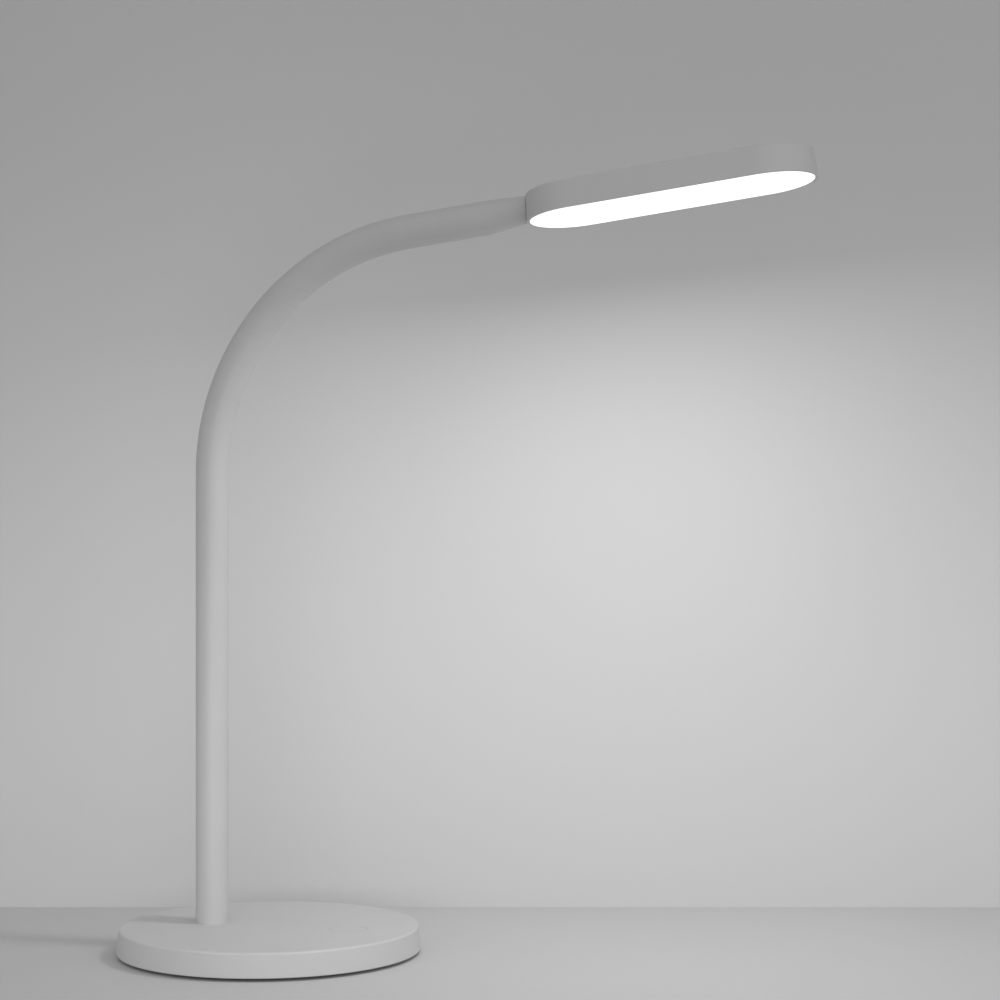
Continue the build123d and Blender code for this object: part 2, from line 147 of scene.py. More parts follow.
# %% [markdown]
# ## From a finish to a piece
# A finish starts as a Principled shader. What is the same all over it sits on the shader's own
# sockets, and what changes over the surface is fed in. Heights go through a Bump node, so a texture
# too fine to model still catches light.

# %% Start a finish, feed it and put it on pieces
micron = 1e-6


def new_finish(name, **even):
    """A material whose even settings sit on the shader's own sockets."""
    material = bpy.data.materials.new(name)
    material.use_nodes = True
    shader = material.node_tree.nodes["Principled BSDF"]
    for setting, value in even.items():
        shader.inputs[setting.replace("_", " ").title().replace("Ior", "IOR")].default_value = value
    return material


def feed(material, height=None, **signals):
    """Leads signals to the shader; height is a signal and its depth in microns."""
    tree = material.node_tree
    shader = tree.nodes["Principled BSDF"]
    if height:
        relief, depth = height
        bump = Signal.node(tree, "Bump", None, {"Height": relief, "Distance": depth * micron})
        tree.links.new(bump.socket, shader.inputs["Normal"])
    for setting, signal in signals.items():
        tree.links.new(signal.socket, shader.inputs[setting.replace("_", " ").title()])


def dress(material, *names):
    """Puts a finish on solids."""
    for name in names:
        slots = solids[name].data.materials
        slots.clear()
        slots.append(material)
    print(material.name, "on", ", ".join(names))


print("finishes can be made and put on")

# %% [markdown]
# ## Moulded shell
# The base, its floor and the head are moulded in one pale plastic, taken from a mould that was
# eroded by sparks to a fine even grain. On the real shells that grain breaks up reflections, so
# they look matt from afar. A noise of about two grains to the millimetre makes it, and a second,
# very broad one shifts the tone a little, as real mouldings do.

# %% Grain, tint and the moulded shell
mm_per_m = 1000


def grain(material, grains_per_mm, stretch=(1, 1, 1), detail=2.0):
    """Cloudy noise from 0 to 1 over the piece, with that many grains to the millimetre."""
    tree = material.node_tree
    place = Signal.node(tree, "TexCoord", None, None, "Object")
    place = Signal.node(tree, "Mapping", None, {"Vector": place, "Scale": stretch})
    values = {"Vector": place, "Scale": mm_per_m * grains_per_mm, "Detail": detail}
    return Signal.node(tree, "TexNoise", None, values)


def tint(material, share, low, high):
    """A colour that runs from low to high as share goes from 0 to 1; either may be a signal."""
    ends = [end if isinstance(end, Signal) else (*end, 1) for end in (low, high)]
    values = {0: share, 6: ends[0], 7: ends[1]}
    return Signal.node(material.node_tree, "Mix", {"data_type": "RGBA"}, values, 2)


def grey(level):
    """A colour without a cast."""
    return level, level, level


shell_finish = new_finish("moulded_shell")
spark = grain(shell_finish, 2.4)
tone = tint(shell_finish, grain(shell_finish, 0.03), grey(0.57), grey(0.6))
feed(shell_finish, base_color=tone, roughness=0.47 + 0.08 * spark, height=(spark, 30))
dress(shell_finish, "base_shell", "base_plate", "head_shell")

# %% [markdown]
# ## Push key
# The key is the same plastic, but its mould was turned on a lathe, which leaves faint rings round
# its middle, and fingers polish the dish. The rings are a sine of the distance from the middle of
# the key. Measuring that distance from Object coordinates keeps the rings centred on the key,
# wherever the key is on the base. Pieces are in metres, but patterns are laid out in millimetres.

# %% Rings in the key
def millimetres(material, centre=(0, 0, 0), turn=(0, 0, 0)):
    """Three signals: the distance from centre along each axis of a turned frame, in millimetres."""
    tree = material.node_tree
    place = Signal.node(tree, "TexCoord", None, None, "Object")
    values = {"Vector": place, "Location": centre, "Rotation": turn}
    place = Signal.node(tree, "Mapping", {"vector_type": "TEXTURE"}, values)
    apart = Signal.node(tree, "SeparateXYZ", None, {"Vector": place})
    return [Signal(out) * mm_per_m for out in apart.socket.node.outputs]


def from_middle(across, along):
    """Distance from the middle, for two signals measured from it."""
    return (across * across + along * along).math("SQRT")


key_low, key_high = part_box("power_key")
key_middle = (key_low + key_high) / 2
ring_pitch, dish_radius = 0.6, 6.5
key_finish = new_finish("turned_key")
across, along, _ = millimetres(key_finish, key_middle)
radius = from_middle(across, along)
ring = (radius * (2 * pi / ring_pitch)).math("SINE")
handled = (radius < dish_radius) * grain(key_finish, 0.15)
tone = tint(key_finish, grain(key_finish, 0.1), grey(0.57), grey(0.595))
feed(key_finish, base_color=tone, roughness=0.5 - 0.14 * handled, height=(ring, 4))
dress(key_finish, "power_key")

# %% [markdown]
# ## The line of the neck
# The neck rises straight, turns over in one even curve and runs slightly uphill into the head.
# Everything on the neck needs that line, so one function gives the point and the direction at any
# distance from its foot. The neck bends at eight joints, each halfway along one of eight equal
# lengths, so the ends of those lengths are worked out here too.

# %% Measure the neck
pole_x = frame["joints"][0]["pos_m"][0]
base_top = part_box("base_shell")[1].z
shoulder = 0.0015
neck_foot = base_top + shoulder
pole_length, bend_radius, head_rise = 0.1933, 0.1015, radians(6.64)
reach_length, taper_length = 0.0529, 0.018
bend_turn = pi / 2 - head_rise
head_turn = (0, -head_rise, 0)
bend_end = pole_length + bend_radius * bend_turn
flex_length = bend_end + reach_length - taper_length
reach = Vector((cos(head_rise), 0, sin(head_rise)))
head_up = Vector((-sin(head_rise), 0, cos(head_rise)))
bend_centre = Vector((pole_x + bend_radius, 0, neck_foot + pole_length))


def neck_at(distance):
    """Point and direction of the neck's middle line at a distance above its foot."""
    if distance <= pole_length:
        return Vector((pole_x, 0, neck_foot + distance)), Vector((0, 0, 1))
    turn = min(distance - pole_length, bend_end - pole_length) / bend_radius
    point = bend_centre + bend_radius * Vector((-cos(turn), 0, sin(turn)))
    along = Vector((sin(turn), 0, cos(turn)))
    return point + along * max(distance - bend_end, 0), along


length_count = 8
cuts = [neck_at(flex_length * k / length_count) for k in range(length_count + 1)]
taper_start, _ = cuts[-1]
print("neck", round(flex_length, 4), "m up to its taper, at", [round(x, 4) for x in taper_start])

# %% [markdown]
# ## Drawing tubes
# Skin, lead and foot all start as a circle that is drawn out. By hand one adds the circle, opens it
# for editing, extrudes it, and after a turn picks its last ring again. Each of these moves is a
# function here, so that the cells below read as a list of moves. Points are picked by their place,
# because their numbers change with every operator.

# %% Moves for drawing
near, merge_gap = 1e-5, 1e-6


def start_circle(name, sides, radius, place, **how):
    """Adds a circle, with its place in its mesh, and opens it for editing with all of it selected."""
    bpy.ops.object.select_all(action="DESELECT")
    bpy.ops.mesh.primitive_circle_add(vertices=sides, radius=radius, location=place, **how)
    thing = bpy.context.object
    thing.name = name
    bpy.ops.object.transform_apply(location=True, rotation=True, scale=True)
    bpy.ops.object.mode_set(mode="EDIT")
    bpy.ops.mesh.select_mode(type="VERT")
    bpy.ops.mesh.select_all(action="SELECT")
    return thing


def draw_out(steps, way):
    """Extrudes what is selected in even steps."""
    for _ in range(steps):
        bpy.ops.mesh.extrude_region_move(TRANSFORM_OT_translate={"value": way / steps})


def pick(thing, wanted):
    """Selects, in edit mode, the points for which wanted is true."""
    bpy.ops.mesh.select_all(action="DESELECT")
    bpy.ops.object.mode_set(mode="OBJECT")
    for point in thing.data.vertices:
        point.select = wanted(point.co)
    bpy.ops.object.mode_set(mode="EDIT")
    bpy.ops.mesh.select_mode(type="VERT")


def pick_ring(thing, point, along):
    """Selects the ring of points in the plane through a point, square to a direction."""
    pick(thing, lambda place: abs((place - point).dot(along)) < near)


def close_up(open_sides=0):
    """Merges doubles, fills ends of so many sides, turns faces outwards and ends the editing."""
    bpy.ops.mesh.select_all(action="SELECT")
    bpy.ops.mesh.remove_doubles(threshold=merge_gap)
    if open_sides:
        bpy.ops.mesh.fill_holes(sides=open_sides)
        bpy.ops.mesh.select_all(action="SELECT")
    bpy.ops.mesh.normals_make_consistent(inside=False)
    bpy.ops.object.mode_set(mode="OBJECT")


print("ready to draw")

# %% [markdown]
# ## The neck's skin, drawn in one go
# A soft sleeve hides the steel gooseneck, with no seam from the base to the head, where it thins to
# a narrow end. It could be a curve with a round bevel, but then the thinning end is hard to steer.
# Here a circle is extruded up the pole, spun round the bend and extruded along the reach, and it
# shrinks a little at each step of the taper.

# %% Draw the skin
neck_radius, tip_radius = 0.0071, 0.0055
tip_lift, tip_overlap = 0.0008, 0.0015
skin_sides, pole_steps, bend_steps, reach_steps, taper_steps = 64, 40, 96, 8, 8


def skin_radius(step):
    """Radius of the skin after so many steps of its taper."""
    return neck_radius + (tip_radius - neck_radius) * step / taper_steps


skin = start_circle("neck_skin", skin_sides, neck_radius, (pole_x, 0, base_top))
draw_out(pole_steps, Vector((0, 0, neck_foot + pole_length - base_top)))
bpy.ops.mesh.spin(steps=bend_steps, angle=-bend_turn, center=bend_centre, axis=(0, 1, 0))
bend_tip, _ = neck_at(bend_end)
pick_ring(skin, bend_tip, reach)
draw_out(reach_steps, reach * (reach_length - taper_length))
taper_way = reach * (taper_length + tip_overlap) + head_up * tip_lift
for step in range(taper_steps):
    draw_out(1, taper_way / taper_steps)
    shrink = skin_radius(step + 1) / skin_radius(step)
    middle = taper_start + taper_way * (step + 1) / taper_steps
    bpy.ops.transform.resize(value=[shrink] * 3, center_override=middle)
close_up()
print("skin drawn with", len(skin.data.vertices), "points")

# %% [markdown]
# ## The skin's end against the head
# The skin stops just short of the head's round end, so its last ring isn't flat: it follows the
# wall of the head. A Boolean cut would leave ragged triangles. Each point of the last ring slides
# along the neck until it is a hair's breadth off that wall, whose plan is half a circle and which
# leans in by three degrees from the rim up.

# %% Slide the last ring onto the head
head_centre = Vector((0.175381, 0, 0.314439))
head_length, head_width, head_draft = 0.1202, 0.0441, radians(3)
wall_gap = 0.00015


def end_wall(sideways, height):
    """How far along the head its end wall is, at a place across it and a height above its rim."""
    wall_radius = head_width / 2 + wall_gap - height * tan(head_draft)
    return (head_width - head_length) / 2 - sqrt(wall_radius**2 - sideways**2)


last_middle = taper_start + taper_way
moved = 0
for point in skin.data.vertices:
    if abs((point.co - last_middle).dot(reach)) < near:
        place = point.co - head_centre
        wall = end_wall(place.y, place.dot(head_up))
        point.co += reach * (wall - place.dot(reach))
        moved += 1
print("end ring of", moved, "points follows the head")

# %% [markdown]
# ## Silky skin
# The sleeve is a thin silicone tube with a dusted, silky surface. It is a shade smoother than the
# shells and has no spark grain, only a dull bloom that is a little uneven where it was handled. Two
# noises of different size do that.

# %% Skin finish
skin_finish = new_finish("silky_skin")
bloom = grain(skin_finish, 0.06)
dust = grain(skin_finish, 5.0)
tone = tint(skin_finish, bloom, grey(0.55), grey(0.58))
feed(skin_finish, base_color=tone, roughness=0.4 + 0.1 * bloom + 0.04 * dust, height=(dust, 4))
print("skin finish ready")

# %% [markdown]
# ## Eight lengths
# Each joint of the neck turns one length against the next, so the skin is cut at the ends of the
# eight lengths. It could stay one long mesh if a piece could follow all nine bodies. A copy of the
# whole is bisected at both ends of a length, and the rest goes.

# %% Cut a length out
def work_on(thing):
    """Selects this object alone and makes it the active one."""
    bpy.ops.object.select_all(action="DESELECT")
    thing.select_set(True)
    bpy.context.view_layer.objects.active = thing


def length_of(whole, index, closed):
    """The part between two cuts as an object of its own, with its cut ends closed or open."""
    piece = whole.copy()
    piece.data = whole.data.copy()
    piece.name = f"{whole.name}_{index}"
    bpy.context.scene.collection.objects.link(piece)
    work_on(piece)
    bpy.ops.object.mode_set(mode="EDIT")
    for end, below in ((index - 1, True), (index, False)):
        if 0 < end < length_count:
            bpy.ops.mesh.select_all(action="SELECT")
            point, along = cuts[end]
            sides = {"clear_inner": below, "clear_outer": not below, "use_fill": closed}
            bpy.ops.mesh.bisect(plane_co=point, plane_no=along, **sides)
    bpy.ops.object.mode_set(mode="OBJECT")
    return piece


print("lengths end at", [round(point.z, 4) for point, _ in cuts], "m above the table")

# %% [markdown]
# ## Lengths with a wall
# The real skin bends smoothly over all the joints. A cut length is only a surface, and Solidify gives
# it a wall, inwards, so that the outside stays as it was drawn. Each length is then shaded smoothly
# and given its finish, and the solids that it stands for are hidden.

# %% Give the skin its wall
def let_bend(piece, index, finish, solid):
    """Shades a length of the neck smoothly, gives it its finish, bakes its place and hides the solids
    that it stands for.
    """
    bpy.ops.object.shade_smooth_by_angle(angle=radians(35))
    piece.data.materials.append(finish)
    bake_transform(piece)
    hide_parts(f"{solid}_{index}")
    if index == length_count:
        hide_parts(f"{solid}_{index + 1}")


def finish_with(thing, kind, **settings):
    """Adds a modifier and applies it."""
    work_on(thing)
    modifier = thing.modifiers.new(kind.lower(), kind)
    for name, value in settings.items():
        setattr(modifier, name, value)
    bpy.ops.object.modifier_apply(modifier=modifier.name)


skin_wall = 0.0012
for index in range(1, length_count + 1):
    piece = length_of(skin, index, False)
    finish_with(piece, "SOLIDIFY", thickness=skin_wall, offset=-1.0)
    let_bend(piece, index, skin_finish, "neck_sleeve")
bpy.data.objects.remove(skin)
print("skin in", length_count, "lengths, wall", skin_wall, "m")

# %% [markdown]
# ## Rubber foot
# Under the base is a disc of soft rubber that keeps the lamp from sliding. Its edge is rounded, and
# moulded grooves in its underside let it grip. A plain disc with a groove texture would look flat
# from below, so the grooves are cut into the mesh: the underside is inset again and again, and
# every second band steps up into the rubber.

# %% Model the foot
foot_low, foot_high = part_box("foot_pad")
foot_radius, foot_sides, edge_round = foot_high.y, 160, 0.0004
groove_count, groove_depth, groove_side, groove_floor, land = 7, 0.0004, 0.0003, 0.0012, 0.006
groove = (land, 0), (groove_side, -groove_depth), (groove_floor, 0), (groove_side, groove_depth)


def pick_underside(thing):
    """Selects the faces that lie on the table."""
    pick(thing, lambda place: place.z < foot_low.z + near)
    bpy.ops.mesh.select_mode(type="FACE")


foot = start_circle("rubber_foot", foot_sides, foot_radius, (0, 0, foot_high.z), fill_type="NGON")
draw_out(1, Vector((0, 0, foot_low.z - foot_high.z)))
bpy.ops.mesh.select_all(action="SELECT")
bpy.ops.mesh.normals_make_consistent(inside=False)
pick_underside(foot)
bpy.ops.mesh.bevel(offset=edge_round, segments=3, affect="EDGES")
pick_underside(foot)
for width, step in groove * groove_count:
    bpy.ops.mesh.inset(thickness=width, depth=step)
bpy.ops.object.mode_set(mode="OBJECT")
bpy.ops.object.shade_smooth_by_angle(angle=radians(30))
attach(foot, "base")
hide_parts("foot_pad")
print("foot with", len(foot.data.polygons), "faces, radius", round(foot_radius, 4), "m")

# %% [markdown]
# ## Rubber
# Moulded rubber is a dark grey rather than black, dull, and pebbled by the mould. Talc stays in its
# hollows, so the same noise that raises the pebbles makes the low places a touch paler.

# %% Rubber finish
rubber_finish = new_finish("pebbled_rubber", specular_ior_level=0.35)
pebble = grain(rubber_finish, 1.6)
tone = tint(rubber_finish, pebble, grey(0.075), grey(0.04))
feed(rubber_finish, base_color=tone, roughness=0.72 + 0.15 * pebble, height=(pebble, 60))
foot.data.materials.append(rubber_finish)
print("rubber finish ready")

# %% [markdown]
# ## Wound gooseneck
# A gooseneck is a steel wire wound round a triangular one, so its surface is a close row of turns.
# Those turns run along the neck, not along one axis. The sum below adds up the distance along the
# pole, round the bend and along the reach, where each part stops at its own end, and a saw tooth of
# that distance draws one turn after another. The steel's colour is darker in the grooves between
# turns, which is painted shade.

# %% Turns of the gooseneck
def beat(signal, pitch):
    """Runs from 0 to 1 over each pitch."""
    return (signal / pitch).math("FRACT")


turn_pitch = 2.2
core_finish = new_finish("wound_steel", metallic=1.0)
forward, _, up = millimetres(core_finish, bend_centre)
ahead, _, _ = millimetres(core_finish, bend_tip, head_turn)
turned = up.math("ARCTAN2", 0 - forward)
turned = turned.math("MAXIMUM", 0.0).math("MINIMUM", bend_turn)
run = up.math("MINIMUM", 0.0) + turned * (mm_per_m * bend_radius) + ahead.math("MAXIMUM", 0.0)
crown_and_groove_shade = 1 - abs(beat(run, turn_pitch) * 2 - 1)
oil = grain(core_finish, 0.4)
# Painted shade: the steel's colour darkens towards the grooves between turns.
tone = tint(core_finish, crown_and_groove_shade, grey(0.22), (0.52, 0.52, 0.54))
feed(core_finish, base_color=tone, roughness=0.32 + 0.2 * oil, height=(crown_and_groove_shade.math("SQRT"), 400))
dress(core_finish, *[f"neck_core_{k}" for k in range(1, length_count + 2)])

# %% [markdown]
# ## Zinc plate
# Screws, nut, washer and end fittings are steel with a bright zinc plate. Passivated zinc has tiny
# crystals, each a shade lighter or darker than the next, with a faint blue cast. Cells of a Voronoi
# texture stand for the crystals.

# %% Zinc finish
def crystals(material, cells_per_mm):
    """A random level from 0 to 1 in each small cell."""
    tree = material.node_tree
    place = Signal.node(tree, "TexCoord", None, None, "Object")
    values = {"Vector": place, "Scale": mm_per_m * cells_per_mm}
    cell = Signal.node(tree, "TexVoronoi", None, values, "Color")
    return Signal.node(tree, "SeparateColor", None, {"Color": cell})


zinc_finish = new_finish("zinc_plate", metallic=1.0)
crystal = crystals(zinc_finish, 2.5)
tone = tint(zinc_finish, crystal, (0.58, 0.6, 0.63), (0.75, 0.76, 0.76))
plate_grain = grain(zinc_finish, 6.0)
feed(zinc_finish, base_color=tone, roughness=0.24 + 0.16 * crystal, height=(plate_grain, 3))
screws = ["plate_screws", "board_screws", "key_board_screws", "back_plate_screws"]
dress(zinc_finish, *screws, "lower_ferrule", "clamp_washer", "clamp_nut", "upper_ferrule")

# %% [markdown]
# ## Blackened screws
# The two headless screws that grip the neck's end fitting are blackened steel. Blacking is thin: it
# is brown-black, and bare metal shows through where the threads were driven. A patchy noise mixes
# metal into the black.

# %% Blackened finish
black_finish = new_finish("blackened_steel", metallic=0.85)
blacked_share, rubbed_strength = 0.62, 0.5
rubbed = (grain(black_finish, 0.9) > blacked_share) * rubbed_strength
tone = tint(black_finish, rubbed, (0.028, 0.026, 0.025), grey(0.4))
feed(black_finish, base_color=tone, roughness=0.48 - 0.3 * rubbed)
dress(black_finish, "grub_screws")

# %% [markdown]
# ## Ballast
# A plate of mild steel in the base keeps the lamp upright. It is laser cut from hot-rolled sheet
# and phosphated: dark grey with clouds of mill scale, and long fine scratches in the rolling
# direction. Stretching a noise along one axis turns its grains into scratches.

# %% Ballast finish
ballast_finish = new_finish("phosphated_steel", metallic=0.75)
scale = grain(ballast_finish, 0.12, detail=5.0)
scratch = grain(ballast_finish, 3.0, (0.02, 1, 1))
tone = tint(ballast_finish, scale * 0.7 + scratch * 0.3, grey(0.09), grey(0.24))
feed(ballast_finish, base_color=tone, roughness=0.42 + 0.25 * scale, height=(scratch, 10))
dress(ballast_finish, "ballast")

# %% [markdown]
# ## Battery pouch
# The cell is a foil pouch: soft aluminium over the layers, slightly wrinkled, with a pressed seam
# at both ends and amber tape where the wires leave it. One finish paints all three by place: the
# tape at the rear edge, the seams near the ends with their row of pressed ribs, and wrinkled foil
# between them.

# %% Foil, seams and tape
def inside(signal, low, high):
    """1 where the signal lies between low and high."""
    return (signal > low) * (signal < high)


tape_width, seam_width, rib_pitch = 3.5, 4, 1.0
cell_low, cell_high = (mm_per_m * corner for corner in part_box("battery"))
foil_finish = new_finish("pouch_foil")
x, y, _ = millimetres(foil_finish)
tape = x < cell_low.x + tape_width
seam = abs(y) > cell_high.y - seam_width
rib = seam * (beat(x, rib_pitch) > 0.5)
wrinkle = grain(foil_finish, 0.09, (1, 0.6, 1), 4.0)
tone = tint(foil_finish, wrinkle, (0.74, 0.74, 0.75), (0.86, 0.86, 0.86))
tone = tint(foil_finish, tape, tone, (0.62, 0.3, 0.05))
feed(
    foil_finish,
    base_color=tone,
    metallic=1 - tape,
    roughness=0.3 + 0.15 * wrinkle - 0.08 * tape,
    height=(wrinkle * (1 - seam) + rib * 0.6, 250),
)
dress(foil_finish, "battery")

# %% [markdown]
# ## Circuit boards
# Both boards are glass fibre under green solder mask. Copper tracks show through the mask as paler,
# slightly raised lines, and bare pads are gold. Tracks run in lanes of a fixed pitch, and a blocky
# noise switches each stretch of a lane on or off, so that no lane runs the whole way across.

# %% Board finish
def blocks(material, across, along, wide, long):
    """A random level in each block of a grid, from signals in millimetres."""
    tree = material.node_tree
    corner = {"X": (across / wide).math("FLOOR"), "Y": (along / long).math("FLOOR")}
    place = Signal.node(tree, "CombineXYZ", None, corner)
    return Signal.node(tree, "TexWhiteNoise", {"noise_dimensions": "3D"}, {"Vector": place})


lane_pitch, track_length, track_band, track_gaps = 1.3, 6.0, (0.35, 0.65), 0.45
link_pitch, link_length, link_band, link_gaps = 2.6, 3.9, (0.42, 0.58), 0.7
pad_size, pad_gaps = 0.13, 0.72
board_finish = new_finish("green_board", coat_roughness=0.15)
x, y, _ = millimetres(board_finish)
track = inside(beat(y, lane_pitch), *track_band)
track = track * (blocks(board_finish, y, x, lane_pitch, track_length) > track_gaps)
link = inside(beat(x, link_pitch), *link_band)
link = link * (blocks(board_finish, x, y, link_pitch, link_length) > link_gaps)
pad = from_middle(beat(x, link_pitch) - 0.5, beat(y, lane_pitch) * 0.5 - 0.25) < pad_size
pad = pad * (blocks(board_finish, x, y, link_pitch, lane_pitch) > pad_gaps)
copper = track.math("MAXIMUM", link)
tone = tint(board_finish, copper, (0.012, 0.11, 0.045), (0.03, 0.2, 0.08))
tone = tint(board_finish, pad, tone, (0.83, 0.62, 0.26))
weave = grain(board_finish, 1.5)
feed(
    board_finish,
    base_color=tone,
    metallic=pad,
    roughness=0.38 + 0.08 * weave - 0.1 * pad,
    coat_weight=0.4 - 0.4 * pad,
    height=(copper.math("MAXIMUM", pad), 40),
)
dress(board_finish, "control_board", "key_board")

# %% [markdown]
# ## Small mouldings
# The wire sockets are natural nylon, which is ivory and slightly waxy, and the switch is black with
# a matt top. They are the same recipe with other numbers, so one function makes both: a soft cloud
# for the resin and a fine grain for the mould.

# %% Nylon and black mouldings
def moulding(name, low, high, roughness):
    """A small moulded part: cloudy resin under a fine mould grain."""
    material = new_finish(name)
    mould = grain(material, 4.0)
    tone = tint(material, grain(material, 0.3), low, high)
    feed(material, base_color=tone, roughness=roughness + 0.1 * mould, height=(mould, 12))
    return material


nylon_finish = moulding("ivory_nylon", (0.7, 0.66, 0.54), (0.78, 0.74, 0.62), roughness=0.38)
switch_finish = moulding("black_moulding", grey(0.016), grey(0.03), roughness=0.45)
dress(nylon_finish, "board_sockets")
dress(switch_finish, "key_switch", "switch_plunger")

# %% [markdown]
# ## Charging inlet
# The inlet is a drawn shell of plated steel round a black tongue, and the tongue carries a row of
# gilt contacts on both faces. The solid is one piece, so the finish tells the tongue from the shell
# by place: the tongue is a flat block about the middle of the mouth, and the contacts are stripes
# across it.

# %% Inlet finish
tongue_thick, tongue_wide, tongue_deep = 0.84, 6.9, 6.1
contact_row, contact_pitch, contact_band, contact_start = 5.8, 0.5, (0.25, 0.75), 2.2
inlet_low, inlet_high = (mm_per_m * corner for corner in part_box("usb_socket"))
inlet_level = (inlet_low.z + inlet_high.z) / 2
inlet_finish = new_finish("plated_inlet")
x, y, z = millimetres(inlet_finish)
tongue = (abs(z - inlet_level) < tongue_thick / 2) * (abs(y) < tongue_wide / 2)
tongue = tongue * (x < inlet_low.x + tongue_deep)
contact = tongue * (abs(y) < contact_row / 2) * (x > inlet_low.x + contact_start)
contact = contact * inside(beat(y, contact_pitch), *contact_band)
drawn = grain(inlet_finish, 4.0, (0.05, 1, 1))
tone = tint(inlet_finish, drawn, (0.6, 0.59, 0.57), (0.74, 0.73, 0.71))
tone = tint(inlet_finish, tongue, tone, grey(0.018))
tone = tint(inlet_finish, contact, tone, (0.85, 0.62, 0.25))
metal = (1 - tongue).math("MAXIMUM", contact)
feed(inlet_finish, base_color=tone, metallic=metal, roughness=0.22 + 0.12 * drawn + 0.2 * tongue)
dress(inlet_finish, "usb_socket")

# %% [markdown]
# ## Lead in the neck
# The lamp's own two-core lead starts flat on the floor of the base, at the board, turns up into the
# gooseneck and ends in the head. It is hidden, but it is soft, so it is drawn like the skin and cut
# with it. It is solid, so its ends are filled. The circle starts upright, is drawn forwards, spun
# up into the neck and then follows the neck's line.

# %% Draw the lead
lead_radius, lead_beyond, lead_sides = 0.0009, 0.011, 24
floor_steps, turn_steps, tail_steps = 2, 12, 12
lead_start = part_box("neck_lead_1")[0] + Vector((0, lead_radius, lead_radius))
lead_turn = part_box("lower_ferrule")[0].z - lead_start.z
turn_centre = Vector((pole_x - lead_turn, 0, lead_start.z + lead_turn))
lead = start_circle("inner_lead", lead_sides, lead_radius, lead_start, rotation=(0, pi / 2, 0))
draw_out(floor_steps, Vector((turn_centre.x - lead_start.x, 0, 0)))
bpy.ops.mesh.spin(steps=turn_steps, angle=pi / 2, center=turn_centre, axis=(0, 1, 0))
pick_ring(lead, turn_centre, Vector((0, 0, 1)))
draw_out(pole_steps, Vector((0, 0, bend_centre.z - turn_centre.z)))
bpy.ops.mesh.spin(steps=bend_steps, angle=-bend_turn, center=bend_centre, axis=(0, 1, 0))
pick_ring(lead, bend_tip, reach)
draw_out(tail_steps, reach * (reach_length + lead_beyond))
close_up(lead_sides)
print("lead drawn with", len(lead.data.vertices), "points")

# %% [markdown]
# ## The lead's jacket
# The jacket is soft grey plastic drawn through a die, which leaves fine lines, and dusted with talc
# so that it slides in the tube when the neck bends. The lines are a noise stretched along the pole,
# and the talc is a cloudier one.

# %% Jacket finish
jacket_finish = new_finish("drawn_jacket")
drawn = grain(jacket_finish, 5.0, (1, 1, 0.08))
talc = grain(jacket_finish, 0.8, detail=4.0)
tone = tint(jacket_finish, talc, grey(0.16), grey(0.26))
feed(jacket_finish, base_color=tone, roughness=0.5 + 0.2 * talc, height=(drawn, 15))
for index in range(1, length_count + 1):
    piece = length_of(lead, index, True)
    let_bend(piece, index, jacket_finish, "neck_lead")
bpy.data.objects.remove(lead)
print("lead in", length_count, "lengths")

# %% [markdown]
# ## Red and black wires
# Inside the housings the wires go in pairs, red for plus and black for minus. The two wires of a
# pair are one solid, so the finish colours them by the side they are on: which side of a line
# through the middle of the pair.

# %% Wire finishes
def wire_pair(name, plus):
    """Red on the plus side and black on the other; plus takes the place across in millimetres."""
    material = new_finish(name, specular_ior_level=0.45)
    drawn = grain(material, 3.0, detail=3.0)
    red = tint(material, drawn, (0.42, 0.015, 0.012), (0.52, 0.025, 0.02))
    black = tint(material, drawn, grey(0.014), grey(0.028))
    _, across, _ = millimetres(material)
    tone = tint(material, plus(across), black, red)
    feed(material, base_color=tone, roughness=0.36 + 0.12 * drawn, height=(drawn, 8))
    return material


key_wire_span = 1.9
battery_split = mm_per_m * sum(corner.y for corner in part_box("battery_lead")) / 2
key_split = mm_per_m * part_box("key_lead")[0].y + key_wire_span
dress(wire_pair("battery_wires", lambda across: across > battery_split), "battery_lead")
dress(wire_pair("key_wires", lambda across: across < key_split), "key_lead")
dress(wire_pair("head_wires", lambda across: across > 0.0), "head_lead")

# %% [markdown]
# ## Aluminium back plate
# The plate behind the light spreads the heat. Rolled aluminium is bright, with fine straight lines
# in the direction of rolling, which here is the length of the head, so the noise is stretched in
# the head's own tilted frame.

# %% Rolled aluminium
lines_per_mm, line_stretch = 3.0, (60, 1, 1)
plate_finish = new_finish("rolled_aluminium", metallic=1.0)
tree = plate_finish.node_tree
place = Signal.node(tree, "TexCoord", None, None, "Object")
values = {"Vector": place, "Location": head_centre, "Rotation": head_turn, "Scale": line_stretch}
place = Signal.node(tree, "Mapping", {"vector_type": "TEXTURE"}, values)
values = {"Vector": place, "Scale": mm_per_m * lines_per_mm, "Detail": 3.0}
rolled = Signal.node(tree, "TexNoise", None, values)
tone = tint(plate_finish, rolled, grey(0.76), grey(0.88))
feed(plate_finish, base_color=tone, roughness=0.26 + 0.18 * rolled, height=(rolled, 5))
dress(plate_finish, "back_plate")

# %% [markdown]
# ## Light strips
# Two narrow boards with white solder mask stand along the long edges of the head, and each carries
# a row of small light sources. Tinned pads show above and below each source. Both finishes are laid
# out in the head's frame, with the row's own pitch, so pads and sources keep step.

# %% Strip and chip finishes
chip_pitch, chip_length, chip_rim = 6.482, 2.8, 0.35
pad_along, pad_lower, pad_upper = (1.9, 2.9), (1.9, 2.9), (4.2, 5.2)
window_height = (3.2, 4.0)


def along_head(material):
    """Place in millimetres in the head's own tilted frame."""
    return millimetres(material, head_centre, head_turn)


